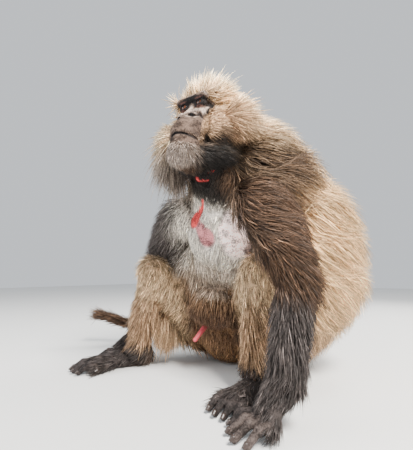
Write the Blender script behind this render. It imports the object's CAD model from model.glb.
# %% [markdown]
# # A seated gelada with its coat
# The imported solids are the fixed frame: they give the animal's size, pose and place.
# This lesson dresses them with one skin, real eyes and nails, and a coat of solid mesh tufts.
# The frame is loaded first, and its box is kept so that the finished model can be compared with it.

import math

import bmesh
import bpy
import numpy as np
from mathutils import Matrix, Vector
from mathutils.bvhtree import BVHTree


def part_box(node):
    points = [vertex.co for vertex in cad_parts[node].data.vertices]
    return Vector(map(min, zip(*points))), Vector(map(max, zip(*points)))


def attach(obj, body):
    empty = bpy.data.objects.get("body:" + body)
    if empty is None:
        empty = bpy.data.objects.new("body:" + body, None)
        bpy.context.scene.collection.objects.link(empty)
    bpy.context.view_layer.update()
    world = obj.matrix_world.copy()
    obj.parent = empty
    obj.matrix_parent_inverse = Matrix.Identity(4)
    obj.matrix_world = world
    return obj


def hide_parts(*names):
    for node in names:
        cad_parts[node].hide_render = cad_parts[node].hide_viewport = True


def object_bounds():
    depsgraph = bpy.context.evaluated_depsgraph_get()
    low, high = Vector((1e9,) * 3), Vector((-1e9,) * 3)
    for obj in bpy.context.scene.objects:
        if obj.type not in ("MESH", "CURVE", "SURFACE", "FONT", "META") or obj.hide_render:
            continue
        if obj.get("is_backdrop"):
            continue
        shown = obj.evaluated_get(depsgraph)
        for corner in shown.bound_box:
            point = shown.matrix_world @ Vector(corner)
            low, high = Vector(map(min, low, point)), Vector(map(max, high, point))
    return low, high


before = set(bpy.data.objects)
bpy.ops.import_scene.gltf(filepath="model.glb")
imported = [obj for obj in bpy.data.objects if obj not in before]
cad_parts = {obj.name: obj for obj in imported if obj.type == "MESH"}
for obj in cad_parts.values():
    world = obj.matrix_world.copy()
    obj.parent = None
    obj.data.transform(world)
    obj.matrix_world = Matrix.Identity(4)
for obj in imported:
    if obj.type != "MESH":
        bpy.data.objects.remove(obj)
cad_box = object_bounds()
print("solids:", len(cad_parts))

# %% [markdown]
# ## The head's own directions
# A face is easiest to describe by steps forward, to its left and up from between the eyes.
# The left eye's solid tells where that point is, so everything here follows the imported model.

# %% Head axes
EYE_RADIUS = 0.0105
EYE_DEPTH = -0.010
EYE_RISE = 0.001
EYE_SPACING = 0.040
HEAD_PITCH = math.radians(8)
FORWARD = Vector((0, -math.cos(HEAD_PITCH), math.sin(HEAD_PITCH)))
LEFT = Vector((1, 0, 0))
UP = Vector((0, math.sin(HEAD_PITCH), math.cos(HEAD_PITCH)))
DOWN = Vector((0, 0, -1))
HEAD_TURN = Matrix((FORWARD, LEFT, UP)).transposed()

BROW_LEFT = 0.071
BROW_BACK = -0.335
BROW_UP = 0.603

low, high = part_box("eye_left")
BROW = (low + high) / 2 - FORWARD * EYE_DEPTH - LEFT * EYE_SPACING / 2 - UP * EYE_RISE


def in_head(f, l, u):
    """A point by its steps forward, left and up from between the eyes."""
    return BROW + FORWARD * f + LEFT * l + UP * u


def place(x, y, z):
    """A point of the body by its steps left, back and up from a spot on the floor."""
    return BROW + Vector((x - BROW_LEFT, y - BROW_BACK, z - BROW_UP))


def height(z):
    """A height above the floor."""
    return BROW.z - BROW_UP + z


def between(start, end, share):
    """The point that is a share of the way from one point to another."""
    return start * (1 - share) + end * share


print("brow at", [round(v, 4) for v in BROW])

# %% [markdown]
# ## The joints
# The limbs are tapered lengths between joints, the way an artist blocks in a pose.
# The left hand is set down in front of the left foot, and the right arm is drawn back.

# %% Joints
SIDES = ("left", "right")
NECK_BASE = place(0.045, -0.155, 0.44)
PELVIS = place(-0.03, 0.03, 0.105)
SHOULDER = {"left": place(0.150, -0.182, 0.405), "right": place(-0.075, -0.172, 0.395)}
ELBOW = {"left": place(0.240, -0.222, 0.248), "right": place(-0.245, -0.075, 0.258)}
WRIST = {"left": place(0.233, -0.280, 0.075), "right": place(-0.280, -0.118, 0.068)}
KNUCKLES = {"left": place(0.208, -0.312, 0.030), "right": place(-0.318, -0.160, 0.026)}
HIP = {"left": place(0.062, -0.008, 0.118), "right": place(-0.118, -0.004, 0.118)}
KNEE = {"left": place(0.142, -0.166, 0.262), "right": place(-0.162, -0.186, 0.262)}
ANKLE = {"left": place(0.132, -0.172, 0.055), "right": place(-0.226, -0.165, 0.055)}
HEEL = {"left": place(0.134, -0.150, 0.026), "right": place(-0.228, -0.140, 0.026)}
TOE_ROOTS = {"left": place(0.126, -0.260, 0.020), "right": place(-0.298, -0.255, 0.020)}
HAND_AHEAD = {
    "left": Vector((-0.62, -0.78, 0)).normalized(),
    "right": Vector((-0.70, -0.71, 0)).normalized(),
}
TAIL = [
    place(-0.050, 0.115, 0.055),
    place(-0.170, 0.160, 0.021),
    place(-0.310, 0.120, 0.021),
    place(-0.430, 0.035, 0.062),
    place(-0.530, -0.055, 0.104),
]
print("shoulder to wrist", {side: round((WRIST[side] - SHOULDER[side]).length, 3) for side in SIDES})

# %% [markdown]
# ## Masses
# Flesh is blocked in with two rounded forms: a ball stretched three ways, and a limb that is
# the hull of two balls. They overlap freely, because a voxel remesh then fuses them into one skin.

# %% Balls and limbs
def add_ball(mesh, centre, radii, turn=None, fineness=3):
    shape = Matrix.Translation(centre) @ (turn or Matrix.Identity(3)).to_4x4()
    shape = shape @ Matrix.Diagonal((*radii, 1))
    bmesh.ops.create_icosphere(mesh, subdivisions=fineness, radius=1, matrix=shape)


def add_limb(mesh, start, end, start_radius, end_radius, fineness=3):
    """A tapered limb with round ends, as the hull of two balls."""
    part = bmesh.new()
    add_ball(part, start, (start_radius,) * 3, fineness=fineness)
    add_ball(part, end, (end_radius,) * 3, fineness=fineness)
    hull = bmesh.ops.convex_hull(part, input=part.verts[:], use_existing_faces=False)
    inner = [g for g in hull["geom_interior"] if isinstance(g, bmesh.types.BMVert)]
    bmesh.ops.delete(part, geom=inner, context="VERTS")
    shell = set(hull["geom"])
    loose = [face for face in part.faces if face not in shell]
    bmesh.ops.delete(part, geom=loose, context="FACES_ONLY")
    kept = bpy.data.meshes.new("limb")
    part.to_mesh(kept)
    part.free()
    mesh.from_mesh(kept)
    bpy.data.meshes.remove(kept)


def linked(name, data):
    """A new object of the scene that carries a mesh, a light or a camera."""
    obj = bpy.data.objects.new(name, data)
    bpy.context.scene.collection.objects.link(obj)
    return obj


def object_of(mesh, name):
    data = bpy.data.meshes.new(name)
    mesh.to_mesh(data)
    mesh.free()
    return linked(name, data)


def apply_modifiers(obj):
    """Turns the evaluated object into its plain mesh."""
    graph = bpy.context.evaluated_depsgraph_get()
    made = bpy.data.meshes.new_from_object(obj.evaluated_get(graph))
    obj.modifiers.clear()
    old = obj.data
    obj.data = made
    bpy.data.meshes.remove(old)


def fuse(obj, voxel, smoothing):
    """Fuses the masses into one closed skin with soft creases."""
    remesh = obj.modifiers.new("fuse", "REMESH")
    remesh.mode = "VOXEL"
    remesh.voxel_size = voxel
    ease = obj.modifiers.new("ease", "SMOOTH")
    ease.factor = 0.5
    ease.iterations = smoothing
    apply_modifiers(obj)


def boolean(obj, tool, operation):
    """Joins a closed tool to an object or cuts it out, and removes the tool."""
    step = obj.modifiers.new(operation.lower(), "BOOLEAN")
    step.operation = operation
    step.solver = "MANIFOLD"
    step.object = tool
    apply_modifiers(obj)
    bpy.data.objects.remove(tool)


# %% Measuring many points at once
def read(items, key, kind=float):
    """Three numbers of each vertex or triangle, as an array of rows."""
    values = np.empty(len(items) * 3, kind)
    items.foreach_get(key, values)
    return values.reshape(-1, 3)


def move_vertices(mesh, places):
    mesh.vertices.foreach_set("co", places.ravel())
    mesh.update()


def distance_to(points, start, end):
    """Distance of each point from a line between two points."""
    along = end - start
    t = np.clip((points - start) @ along / max(along @ along, 1e-9), 0, 1)
    return np.linalg.norm(points - start - t[:, None] * along, axis=1)


def head_steps(points):
    """Steps forward, left and up from between the eyes, for many points at once."""
    offset = points - np.array(BROW)
    return offset @ np.array(FORWARD), offset @ np.array(LEFT), offset @ np.array(UP)


def soft_step(value, start, end):
    t = np.clip((value - start) / (end - start), 0, 1)
    return t * t * (3 - 2 * t)


def inside(value, full, none):
    """1 where a value is small, falling softly to 0."""
    return 1 - soft_step(value, full, none)


# %% [markdown]
# ## The body's flesh
# Trunk, braincase, limbs and tail are fused on a coarse grid, since hair hides them.
# Each mass is thinner than its solid by the depth of the coat that will cover it.
# Where the coat is long, the flesh carries a core of dense underfur part of the way out.

# %% Body masses
COAT_DEPTH = {"trunk": 0.010, "arm": 0.009, "leg": 0.009, "tail": 0.012, "hand": 0.0015, "skull": 0.0022}
THIN_COAT = 0.6  # the share of that depth at wrist and ankle
HAIR_CORE = 0.42

# Cape and mane: the middle of each mass, its three radii, the hair's depth past each, and its turn.
HAIR_MASSES = (
    (place(0.095, -0.075, 0.470), (0.098, 0.092, 0.076), (0.110, 0.080, 0.066), None),
    (place(0.080, 0.012, 0.375), (0.130, 0.108, 0.106), (0.148, 0.105, 0.080), None),
    (place(0.074, 0.026, 0.310), (0.136, 0.108, 0.105), (0.160, 0.108, 0.080), None),
    (place(0.066, 0.040, 0.240), (0.136, 0.105, 0.110), (0.168, 0.110, 0.070), None),
    (place(0.044, 0.052, 0.165), (0.114, 0.098, 0.100), (0.150, 0.102, 0.062), None),
    (place(0.028, 0.060, 0.105), (0.094, 0.090, 0.088), (0.124, 0.095, 0.050), None),
    (in_head(-0.062, 0, 0.030), (0.034, 0.046, 0.026), (0.040, 0.036, 0.034), HEAD_TURN),
    (in_head(-0.110, 0, 0.000), (0.056, 0.064, 0.058), (0.040, 0.046, 0.040), HEAD_TURN),
    (place(0.105, -0.118, 0.528), (0.072, 0.074, 0.062), (0.085, 0.085, 0.058), None),
    (in_head(-0.088, 0.056, -0.014), (0.038, 0.024, 0.025), (0.036, 0.046, 0.020), HEAD_TURN),
    (in_head(-0.076, -0.064, -0.044), (0.040, 0.026, 0.035), (0.036, 0.052, 0.034), HEAD_TURN),
)


def add_hair_masses(mesh, reach, inset):
    """Cape and mane as balls of flesh, taken out to a share of their hair's length."""
    for centre, radii, hair, turn in HAIR_MASSES:
        add_ball(mesh, centre, tuple(r + h * reach - inset for r, h in zip(radii, hair)), turn)


def add_flesh(mesh, centre, radii, inset, turn=None):
    add_ball(mesh, centre, tuple(r - inset for r in radii), turn)


def add_bone(mesh, start, end, start_radius, end_radius, inset):
    add_limb(mesh, start, end, start_radius - inset, end_radius - inset)


def add_trunk(mesh, inset):
    """Rump, belly, chest, shoulders and neck."""
    masses = (
        (PELVIS, (0.128, 0.125, 0.110)),
        (place(-0.012, -0.050, 0.205), (0.108, 0.100, 0.100)),
        (place(0.015, -0.075, 0.290), (0.112, 0.102, 0.090)),
        (place(0.040, -0.135, 0.365), (0.108, 0.102, 0.108)),
        (place(0.045, -0.060, 0.380), (0.135, 0.110, 0.100)),
        (place(-0.055, -0.080, 0.240), (0.072, 0.080, 0.085)),
        (place(-0.010, -0.085, 0.185), (0.100, 0.085, 0.075)),
        (place(-0.098, -0.120, 0.292), (0.056, 0.055, 0.072)),
    )
    for centre, radii in masses:
        add_flesh(mesh, centre, radii, inset)
    for side in SIDES:
        cap = between(SHOULDER[side], NECK_BASE, 0.15) + Vector((0, 0.012, 0))
        add_flesh(mesh, cap, (0.066, 0.068, 0.068), inset)
    add_bone(mesh, NECK_BASE, in_head(-0.088, 0, -0.040), 0.086, 0.070, inset)


def add_arm(mesh, side, inset):
    add_bone(mesh, SHOULDER[side], ELBOW[side], 0.057, 0.044, inset)
    add_limb(mesh, ELBOW[side], WRIST[side], 0.043 - inset, 0.030 - inset * THIN_COAT)
    if side == "left":
        add_flesh(mesh, place(0.172, -0.198, 0.370), (0.062, 0.056, 0.078), inset)


def add_leg(mesh, side, inset):
    add_bone(mesh, HIP[side], KNEE[side], 0.088, 0.050, inset)
    add_limb(mesh, KNEE[side], ANKLE[side], 0.046 - inset, 0.031 - inset * THIN_COAT)
    calf = between(KNEE[side], ANKLE[side], 0.38) + Vector((0, 0.016, 0))
    add_flesh(mesh, calf, (0.042, 0.044, 0.062), inset)


def add_tail(mesh, radius):
    for start, end in zip(TAIL, TAIL[1:]):
        add_limb(mesh, start, end, radius, radius)


# %% [markdown]
# ## The head's flesh
# A gelada's face is long, with a heavy brow, a high bare muzzle and a swollen upper lip.
# Its masses are fused on a fine grid, and the eyes' sockets, nostrils and mouth line are cut in.

# %% Head masses
LIP_RADIUS = 0.0052
LIP_CURVE = (
    (0.0335, 0.000, 0.000),
    (0.0300, 0.013, -0.001),
    (0.0200, 0.024, -0.003),
    (0.0090, 0.0295, -0.007),
)


def add_skull(mesh, inset=0.0):
    """The bare face, jaws and braincase."""
    def ball(spot, radii):
        add_flesh(mesh, in_head(*spot), radii, inset, HEAD_TURN)

    def limb(start, end, start_radius, end_radius):
        add_bone(mesh, in_head(*start), in_head(*end), start_radius, end_radius, inset)

    ball((-0.085, 0, 0.012), (0.072, 0.056, 0.056))
    limb((-0.004, -0.031, 0.0155), (-0.004, 0.031, 0.0155), 0.0095, 0.0095)
    ball((-0.036, 0, -0.008), (0.030, 0.044, 0.034))
    limb((-0.028, 0, -0.028), (0.006, 0, -0.076), 0.032, 0.032)
    limb((-0.007, 0, -0.010), (0.007, 0, -0.035), 0.0080, 0.0105)
    ball((0.003, 0, -0.1145), (0.034, 0.033, 0.032))
    for side in (-1, 1):
        ball((EYE_DEPTH, side * EYE_SPACING / 2, EYE_RISE), (0.0135,) * 3)
        limb((-0.024, side * 0.031, -0.016), (-0.070, side * 0.046, -0.022), 0.012, 0.018)
        ball((-0.048, side * 0.030, -0.050), (0.040, 0.027, 0.036))
        limb((0.000, side * 0.018, -0.028), (0.006, side * 0.016, -0.070), 0.011, 0.014)
        ball((0.008, side * 0.0135, -0.0365), (0.0100, 0.0085, 0.0070))
        limb((0.007, side * 0.0175, -0.0355), (0.001, side * 0.0230, -0.0420), 0.0048, 0.0040)
        limb((-0.010, 0, -0.117), (-0.072, side * 0.036, -0.090), 0.029, 0.026)
        for rise, out in ((-0.0815, 0.0), (-0.0950, -0.003)):
            lip = [(f + out, side * l, rise + drop) for f, l, drop in LIP_CURVE]
            for start, end in zip(lip, lip[1:]):
                limb(start, end, LIP_RADIUS, LIP_RADIUS)
    ball((-0.070, 0, -0.080), (0.052, 0.050, 0.054))


# %% Folds of the face
def surface_tree(obj):
    """A tree that finds the nearest spot of a surface, or the one that a ray meets."""
    points = [vertex.co.copy() for vertex in obj.data.vertices]
    faces = [tuple(face.vertices) for face in obj.data.polygons]
    return BVHTree.FromPolygons(points, faces)


# Folds of the face, each a line of steps to the side and up, with its depth and half width.
FOLDS = (
    (((0.019, -0.043), (0.026, -0.040), (0.033, -0.029), (0.039, 0.001)), 0.0026, 0.0024),
    (((0.010, -0.010), (0.020, -0.0125), (0.030, -0.007)), 0.0010, 0.0016),
    (((0.012, -0.055), (0.022, -0.062), (0.030, -0.074)), 0.0012, 0.0030),
    (((0.006, 0.006), (0.007, -0.012), (0.010, -0.026)), 0.0014, 0.0026),
)


def line_distance(side, up, line):
    """Distance of points, seen from the front, from a line of several lengths."""
    spots = np.stack([side, up], axis=1)
    return np.min([distance_to(spots, np.array(a), np.array(b)) for a, b in zip(line, line[1:])], axis=0)


def press_folds(face):
    """Presses the folds into the front of the face, and lifts its skin a little between them."""
    spots = read(face.data.vertices, "co")
    f, l, u = head_steps(spots)
    front = soft_step(f, -0.030, -0.015)
    for line, depth, half in FOLDS:
        near = np.exp(-((line_distance(np.abs(l), u, line) / half) ** 2)) * front * depth
        spots -= near[:, None] * np.array(FORWARD) * 0.8
        spots -= (near * np.sign(l))[:, None] * np.array(LEFT) * 0.5
    ripple = 0.0005 * np.sin((u + 0.4 * np.abs(l)) * 900) * front * np.exp(-(((u + 0.030) / 0.016) ** 2))
    spots += ripple[:, None] * np.array(FORWARD)
    move_vertices(face.data, spots)


# %% Cut the eyes, nostrils and mouth
def eye_centre(side):
    return in_head(EYE_DEPTH, side * EYE_SPACING / 2, EYE_RISE)


def cut(obj, name, add, *shape):
    """Cuts one ball or limb out of an object."""
    tool = bmesh.new()
    add(tool, *shape)
    boolean(obj, object_of(tool, name), "DIFFERENCE")


SOCKET_GAP = 0.0004
LID_OPENING = (0.012, 0.0086, 0.0060)


def cut_eye(face, side):
    """Cuts a socket for the eyeball and an almond opening between its lids."""
    centre = eye_centre(side)
    cut(face, "socket", add_ball, centre, (EYE_RADIUS + SOCKET_GAP,) * 3, None, 4)
    ahead = centre + FORWARD * 0.014 - LEFT * side * 0.0012
    cut(face, "opening", add_ball, ahead, LID_OPENING, HEAD_TURN, 4)


NOSTRIL = (0.0110, 0.0150, -0.0405)


def cut_nostril(face, side):
    """Cuts a slanting slit that opens to the side and front."""
    f, l, u = NOSTRIL
    inner = in_head(f + 0.004, side * (l - 0.003), u + 0.001)
    outer = in_head(f - 0.002, side * (l + 0.006), u + 0.002)
    cut(face, "nostril", add_limb, inner, outer, 0.0034, 0.0026)


MOUTH_LEVEL = -0.0890
MOUTH_DROOP = 0.0065
MOUTH_INSIDE = -0.034
MOUTH_STEPS = 14
MOUTH_RADIUS = 0.0017


def above_mouth(side, up):
    """Height over the line between the lips, which droops to the sides."""
    return up - MOUTH_LEVEL + MOUTH_DROOP * (side / 0.028) ** 2


def cut_mouth(face):
    """Cuts the line between the lips, found by looking out from inside the mouth."""
    tree = surface_tree(face)
    start = in_head(MOUTH_INSIDE, 0, MOUTH_LEVEL)
    points = []
    for step in range(-MOUTH_STEPS, MOUTH_STEPS + 1):
        turn = math.radians(2.7 * step)
        droop = MOUTH_DROOP * (step / MOUTH_STEPS) ** 2
        aim = in_head(math.cos(turn) + MOUTH_INSIDE, math.sin(turn), MOUTH_LEVEL - droop / 0.055)
        points.append(tree.ray_cast(start, (aim - start).normalized())[0])
    line = bmesh.new()
    for start, end in zip(points, points[1:]):
        add_limb(line, start, end, MOUTH_RADIUS, MOUTH_RADIUS, 2)
    line = object_of(line, "line")
    fuse(line, 0.0005, 1)
    boolean(face, line, "DIFFERENCE")


# %% [markdown]
# ## Hands and feet
# Each digit is a short chain of limbs with thicker knuckles, long in the palm as a gelada's are.
# The palm and sole are pressed flat where they carry weight.

# %% Digits
FINGER_RADIUS = 0.0085
NAILS = []


def add_digit(mesh, root, tip, radius, arch):
    """A finger or toe in two lengths with a knuckle between, and a note of where its nail goes."""
    bend = root * 0.45 + tip * 0.55 + Vector((0, 0, arch))
    add_limb(mesh, root, bend, radius * 1.08, radius * 0.90)
    add_ball(mesh, bend, (radius * 1.06,) * 3)
    add_limb(mesh, bend, tip, radius * 0.94, radius * 0.80)
    NAILS.append((tip, (tip - bend).normalized(), radius))


# Each digit's step across and reach ahead, with what the palm or sole and the thumb or great toe need.
HAND_PLAN = dict(
    digits=((-0.027, 0.045), (-0.009, 0.057), (0.009, 0.060), (0.026, 0.050)),
    spread=0.35, root_height=0.024, arch=0.010, from_back=0.65, bone=0.020,
    thumb_from=0.45, thumb_height=0.026, thumb_reach=(0.016, 0.034), thumb_end=0.007,
    thumb_size=1.0, thumb_arch=0.004,
)
FOOT_PLAN = dict(
    digits=((-0.026, 0.040), (-0.009, 0.050), (0.008, 0.053), (0.024, 0.047)),
    spread=0.2, root_height=0.019, arch=0.008, from_back=0.7, bone=0.019,
    thumb_from=0.62, thumb_height=0.018, thumb_reach=(0.024, 0.048), thumb_end=0.008,
    thumb_size=1.1, thumb_arch=0.003,
)


def add_digits(mesh, side, back, front, ahead, inset, plan):
    """Four digits from the row of knuckles, and a thumb or great toe from the inner edge."""
    inward = Vector((0, 0, 1)).cross(ahead) * (-1 if side == "left" else 1)
    for across, reach in plan["digits"]:
        root = front - inward * across
        tip = root + ahead * reach - inward * across * plan["spread"]
        root.z = height(plan["root_height"])
        tip.z = height(FINGER_RADIUS * 0.85)
        add_bone(mesh, between(back, front, plan["from_back"]), root, plan["bone"], 0.012, inset)
        add_digit(mesh, root, tip, FINGER_RADIUS - inset / 2, plan["arch"])
    inner, onward = plan["thumb_reach"]
    root = between(back, front, plan["thumb_from"]) + inward * 0.020
    root.z = height(plan["thumb_height"])
    tip = root + inward * inner + ahead * onward
    tip.z = height(plan["thumb_end"])
    add_digit(mesh, root, tip, FINGER_RADIUS * plan["thumb_size"] - inset / 2, plan["thumb_arch"])


def add_hand(mesh, side, inset):
    knuckles, wrist = KNUCKLES[side], WRIST[side]
    add_limb(mesh, between(wrist, ELBOW[side], 0.25), wrist, 0.022, 0.029 - inset)
    add_bone(mesh, wrist, knuckles, 0.030, 0.020, inset)
    add_digits(mesh, side, wrist, knuckles, HAND_AHEAD[side], inset, HAND_PLAN)


def add_foot(mesh, side, inset):
    heel, roots, ankle = HEEL[side], TOE_ROOTS[side], ANKLE[side]
    ahead = roots - heel
    ahead.z = 0
    ahead.normalize()
    add_limb(mesh, between(ankle, KNEE[side], 0.25), ankle, 0.022, 0.030 - inset)
    add_bone(mesh, ankle, heel, 0.032, 0.027, inset)
    add_bone(mesh, heel, roots, 0.026, 0.019, inset)
    add_digits(mesh, side, heel, roots, ahead, inset, FOOT_PLAN)


# %% [markdown]
# ## One skin
# Coarse body, fine face and fine hands and feet are joined by Boolean unions into one closed mesh.
# A coarse grid is enough under hair, and the fine grids keep lids, lips and knuckles.

# %% Build the skin
BODY_GRID = 0.0076
FACE_GRID = 0.0016
DIGIT_GRID = 0.0030
CORE_INSET = 0.004


def build_body():
    mesh = bmesh.new()
    add_trunk(mesh, COAT_DEPTH["trunk"])
    add_hair_masses(mesh, HAIR_CORE, CORE_INSET)
    add_skull(mesh, COAT_DEPTH["skull"])
    for side in SIDES:
        add_arm(mesh, side, COAT_DEPTH["arm"])
        add_leg(mesh, side, COAT_DEPTH["leg"])
    add_tail(mesh, 0.024 - COAT_DEPTH["tail"])
    body = object_of(mesh, "skin")
    fuse(body, BODY_GRID, 3)
    return body


def build_face():
    """The front of the head on a fine grid, cut off behind where hair hides the join."""
    mesh = bmesh.new()
    add_skull(mesh)
    face = object_of(mesh, "face")
    fuse(face, FACE_GRID, 5)
    mesh = bmesh.new()
    mesh.from_mesh(face.data)
    sliced = bmesh.ops.bisect_plane(
        mesh, geom=mesh.verts[:] + mesh.edges[:] + mesh.faces[:],
        plane_co=in_head(-0.048, 0, 0), plane_no=-FORWARD, clear_outer=True,
    )
    rim = [g for g in sliced["geom_cut"] if isinstance(g, bmesh.types.BMEdge)]
    bmesh.ops.edgeloop_fill(mesh, edges=rim)
    mesh.to_mesh(face.data)
    mesh.free()
    press_folds(face)
    for side in (-1, 1):
        cut_eye(face, side)
        cut_nostril(face, side)
    cut_mouth(face)
    return face


def build_extremity(add, side, name):
    mesh = bmesh.new()
    add(mesh, side, COAT_DEPTH["hand"])
    part = object_of(mesh, name)
    fuse(part, DIGIT_GRID, 3)
    return part


skin = build_body()
print("body", len(skin.data.polygons))
pieces = [build_face()]
for side in SIDES:
    pieces.append(build_extremity(add_hand, side, "hand"))
    pieces.append(build_extremity(add_foot, side, "foot"))
for piece in pieces:
    print(piece.name, len(piece.data.polygons))
    boolean(skin, piece, "UNION")


# %% Refine the chest and rest the skin on the floor
CHEST_LOW = place(-0.040, -0.300, 0.290)
CHEST_HIGH = place(0.140, -0.160, 0.480)


def in_chest(vertex):
    return all(low < v < high for low, v, high in zip(CHEST_LOW, vertex.co, CHEST_HIGH))


def refine_chest(obj):
    """Splits the chest's faces twice, so that the edges of its bare patches are crisp."""
    for _ in range(2):
        mesh = bmesh.new()
        mesh.from_mesh(obj.data)
        chosen = [edge for edge in mesh.edges if all(in_chest(vertex) for vertex in edge.verts)]
        bmesh.ops.subdivide_edges(mesh, edges=chosen, cuts=1, use_grid_fill=True, smooth=0.3)
        mesh.to_mesh(obj.data)
        mesh.free()


FLOOR_CLEAR = 0.0006
refine_chest(skin)
points = read(skin.data.vertices, "co")
points[:, 2] = np.maximum(points[:, 2], FLOOR_CLEAR)
move_vertices(skin.data, points)
skin.data.shade_smooth()
print("skin triangles", sum(len(face.vertices) - 2 for face in skin.data.polygons))

# %% [markdown]
# ## Zones of the coat
# A groomer thinks of a coat in zones: on each, hair has a length, a lie and a colour.
# Here a zone is a line through the body with a radius. A point of the skin takes its values
# from the zones near it, weighted by closeness, so that one zone flows into the next.

# %% Colours
def tint(red, green, blue):
    """A colour given as the eye names it, from 0 to 255, turned into light for the shader."""
    return tuple(((v / 255 + 0.055) / 1.055) ** 2.4 for v in (red, green, blue))


CREAM = tint(255, 242, 208)
BLOND = tint(255, 216, 162)
TAN = tint(224, 184, 144)
GOLD = tint(190, 148, 108)
WHEAT = tint(250, 220, 176)
TAWNY = tint(158, 122, 90)
BARK = tint(104, 78, 60)
BROWN = tint(122, 92, 70)
UMBER = tint(92, 68, 50)
DARK_BROWN = tint(46, 34, 27)
BLACK = tint(17, 15, 15)
CHARCOAL = tint(96, 87, 84)
ASH = tint(160, 151, 146)
GREY_WHITE = tint(255, 248, 232)
GRIZZLE = tint(146, 126, 110)
PINK_WHITE = tint(240, 216, 210)

# %% Zones
LONG_BORDER = 0.026
SHORT_BORDER = 0.010
ZONES = []


def zone(name, start, end, radius, lie, length, stand, root, tip, width=0.0026, long=False, free=False):
    """One zone: a line with a radius, and how the hair on it grows.

    The lie is the hair's direction, and stand is how much it leaves the skin. Root and tip are
    its colours. Free hair hangs from the skin, and the borders of long hair are softer.
    """
    ZONES.append(dict(
        name=name, start=np.array(start), end=np.array(end), radius=radius,
        lie=np.array(Vector(lie).normalized()), length=length, stand=stand,
        root=np.array(root), tip=np.array(tip), width=width, free=free,
        soft=LONG_BORDER if long else SHORT_BORDER,
    ))


# %% Zones of the head
def head_zones():
    zone("brow", in_head(-0.020, -0.026, 0.031), in_head(-0.020, 0.026, 0.031), 0.003,
         UP - FORWARD * 0.5, 0.020, 0.5, UMBER, TAN, 0.0014)
    zone("crown", in_head(-0.050, 0, 0.046), in_head(-0.095, 0, 0.050), 0.034,
         UP * 0.4 - FORWARD * 0.9, 0.052, 0.8, BLOND, CREAM, 0.0012)
    zone("head_back", in_head(-0.150, 0, 0.030), in_head(-0.165, 0, -0.050), 0.030,
         DOWN * 0.5 - FORWARD * 0.8 + LEFT * 0.2, 0.110, 0.3, BROWN, CREAM, 0.0022, long=True)
    for name, s in (("left", 1), ("right", -1)):
        def spot(f, l, u):
            return in_head(f, s * l, u)

        out = LEFT * s
        back = -FORWARD * 0.9
        zone(f"temple_{name}", spot(-0.045, 0.045, 0.024), spot(-0.045, 0.048, 0.006), 0.006,
             out * 0.7 + back + UP * 0.25, 0.032, 0.50, TAWNY, BLOND, 0.0013)
        zone(f"face_edge_{name}", spot(-0.014, 0.036, -0.018), spot(-0.008, 0.034, -0.070), 0.003,
             out * 0.5 + back, 0.014, 0.30, UMBER, TAN, 0.0013)
        zone(f"cheek_{name}", spot(-0.045, 0.046, -0.026), spot(-0.058, 0.056, -0.042), 0.010,
             out * 0.5 + back, 0.044, 0.42, BROWN, TAN, 0.0017)
        zone(f"cheek_low_{name}", spot(-0.030, 0.040, -0.060), spot(-0.074, 0.070, -0.036), 0.004,
             out * 0.3 + back - UP * 0.05, 0.032, 0.32, DARK_BROWN, BROWN, 0.0018)
        zone(f"under_cheek_{name}", spot(-0.024, 0.040, -0.078), spot(-0.110, 0.084, -0.042), 0.012,
             out * 0.2 + back, 0.032, 0.25, BLACK, BLACK, 0.0018)
        zone(f"jaw_{name}", spot(-0.012, 0.026, -0.118), spot(-0.080, 0.052, -0.100), 0.016,
             out * 0.3 + back - UP * 0.15, 0.032, 0.32, BLACK, BLACK, 0.0016)
    zone("ruff_right", in_head(-0.026, -0.045, 0.018), in_head(-0.026, -0.046, -0.052), 0.009,
         LEFT * -0.9 + FORWARD * 0.15, 0.044, 0.45, GOLD, CREAM, 0.0016)
    zone("chin", in_head(0.012, 0, -0.112), in_head(0.010, 0, -0.122), 0.016,
         DOWN - FORWARD * 0.3, 0.007, 0.35, GRIZZLE, ASH, 0.0010)
    zone("under_chin", in_head(-0.004, -0.012, -0.150), in_head(-0.004, 0.012, -0.150), 0.010,
         DOWN * 0.5 - FORWARD, 0.010, 0.35, DARK_BROWN, UMBER, 0.0011)
    zone("muzzle", in_head(0.015, -0.018, -0.072), in_head(0.015, 0.018, -0.072), 0.018,
         DOWN - FORWARD * 0.3, 0.0030, 0.22, UMBER, GRIZZLE, 0.0007)
    zone("mane_left", in_head(-0.105, 0.080, 0.010), in_head(-0.120, 0.086, -0.024), 0.012,
         LEFT * 0.4 - FORWARD + UP * 0.08, 0.085, 0.4, GOLD, WHEAT, 0.0022, long=True)
    zone("mane_right", in_head(-0.100, -0.080, 0.010), in_head(-0.110, -0.082, -0.045), 0.014,
         LEFT * -0.3 - FORWARD * 0.7 + DOWN * 0.4, 0.070, 0.4, BROWN, BLOND, 0.0022, long=True)
    zone("whisker_right", in_head(-0.045, -0.076, -0.058), in_head(-0.085, -0.080, -0.078), 0.008,
         DOWN - LEFT * 0.35 + FORWARD * 0.1, 0.100, 0.5, DARK_BROWN, ASH, 0.0014, free=True)
    zone("throat", in_head(-0.080, 0, -0.125), NECK_BASE + Vector((0, -0.05, 0.03)), 0.046,
         DOWN, 0.020, 0.25, BLACK, BLACK, 0.0018)


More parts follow.
